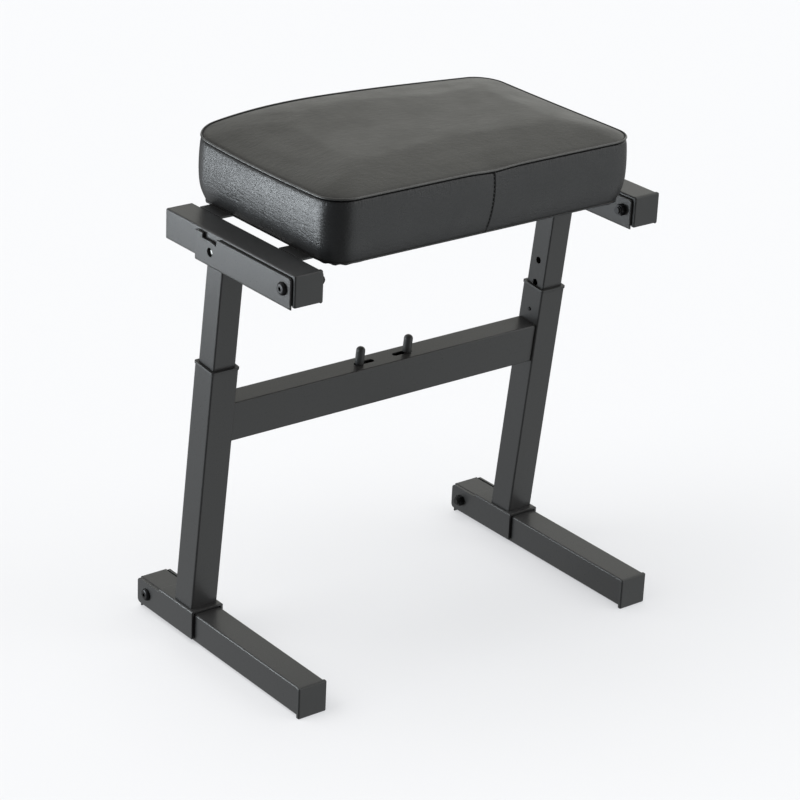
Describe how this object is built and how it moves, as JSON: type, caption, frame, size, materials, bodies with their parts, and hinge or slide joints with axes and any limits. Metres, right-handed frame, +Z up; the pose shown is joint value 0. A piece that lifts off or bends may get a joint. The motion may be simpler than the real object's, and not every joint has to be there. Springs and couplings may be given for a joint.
{
  "type": "keyboard bench",
  "caption": "Folding keyboard bench with a boxed padded seat on two leaning square legs, a crossbar with squeeze pins that lock the height, and folding feet.",
  "frame": {"origin": "on the floor, midway between the legs and midway along the feet", "axes": "+Z up; +X across the bench, from leg to leg; -Y the side that the feet and the seat's hinge point to; the legs lean towards -Y as they rise"},
  "size_m": [0.5672, 0.348, 0.6515],
  "materials": {
    "powder_coat": "satin black powder coat",
    "black_plastic": "fine matte grain",
    "blackened_steel": "black oxide, slight gloss",
    "zinc_steel": "bright zinc plate",
    "spring_steel": "dull spring steel",
    "plywood": "sanded, unfinished",
    "leatherette": "black grained, low gloss",
    "foam": "open-cell foam, matte"
  },
  "bodies": {
    "outer_frame": {"crossbar": "powder_coat", "rod_guides": "powder_coat", "leg_rivets": "blackened_steel", "foot_bolts": "blackened_steel", "foot_nuts": "blackened_steel", "lock_spring": "spring_steel", "left_outer_leg": "powder_coat", "left_leg_collar": "black_plastic", "left_foot_bracket": "powder_coat", "right_outer_leg": "powder_coat", "right_leg_collar": "black_plastic", "right_foot_bracket": "powder_coat"},
    "upper_frame": {"rail_bolts": "blackened_steel", "rail_nuts": "blackened_steel", "left_inner_leg": "powder_coat", "left_leg_glide": "black_plastic", "left_top_bracket": "powder_coat", "right_inner_leg": "powder_coat", "right_leg_glide": "black_plastic", "right_top_bracket": "powder_coat"},
    "seat": {"front_strap": "powder_coat", "rear_strap": "powder_coat", "seat_board": "plywood", "seat_screws": "zinc_steel", "cushion_foam": "foam", "cushion": "leatherette", "left_rail": "powder_coat", "left_rail_front_cap": "black_plastic", "left_rail_rear_cap": "black_plastic", "left_button_leaf": "spring_steel", "right_rail": "powder_coat", "right_rail_front_cap": "black_plastic", "right_rail_rear_cap": "black_plastic", "right_button_leaf": "spring_steel"},
    "left_foot": {"left_foot_tube": "powder_coat", "left_foot_front_cap": "black_plastic", "left_foot_rear_cap": "black_plastic"},
    "left_lock": {"left_lock_rod": "zinc_steel", "left_finger_sleeve": "black_plastic"},
    "left_button": {"left_snap_button": "zinc_steel"},
    "right_foot": {"right_foot_tube": "powder_coat", "right_foot_front_cap": "black_plastic", "right_foot_rear_cap": "black_plastic"},
    "right_lock": {"right_lock_rod": "zinc_steel", "right_finger_sleeve": "black_plastic"},
    "right_button": {"right_snap_button": "zinc_steel"}
  },
  "joints": [
    {"name": "height_slide", "type": "slide", "parent": "outer_frame", "child": "upper_frame", "axis": [0, -0.1115, 0.9938], "range_m": [-0.0948, 0]},
    {"name": "seat_hinge", "type": "hinge", "parent": "upper_frame", "child": "seat", "pos_m": [0, -0.1215, 0.5332], "axis": [1, 0, 0], "range_deg": [0, 276.4]},
    {"name": "left_foot_hinge", "type": "hinge", "parent": "outer_frame", "child": "left_foot", "pos_m": [-0.256, 0.153, 0.025], "axis": [1, 0, 0], "range_deg": [0, 276.4]},
    {"name": "right_foot_hinge", "type": "hinge", "parent": "outer_frame", "child": "right_foot", "pos_m": [0.256, 0.153, 0.025], "axis": [1, 0, 0], "range_deg": [0, 276.4]},
    {"name": "left_lock_slide", "type": "slide", "parent": "outer_frame", "child": "left_lock", "axis": [-1, 0, 0], "range_m": [-0.012, 0.0033], "stiffness_N_per_m": 600, "springref_m": 0.013, "deforming": ["lock_spring"]},
    {"name": "right_lock_slide", "type": "slide", "parent": "outer_frame", "child": "right_lock", "axis": [1, 0, 0], "range_m": [-0.012, 0.0033], "stiffness_N_per_m": 600, "springref_m": 0.013},
    {"name": "left_button_slide", "type": "slide", "parent": "seat", "child": "left_button", "axis": [-1, 0, 0], "range_m": [-0.0015, 0.0043], "stiffness_N_per_m": 700, "springref_m": 0.0043, "deforming": ["left_button_leaf"]},
    {"name": "right_button_slide", "type": "slide", "parent": "seat", "child": "right_button", "axis": [1, 0, 0], "range_m": [-0.0015, 0.0043], "stiffness_N_per_m": 700, "springref_m": 0.0043, "deforming": ["right_button_leaf"]}
  ]
}
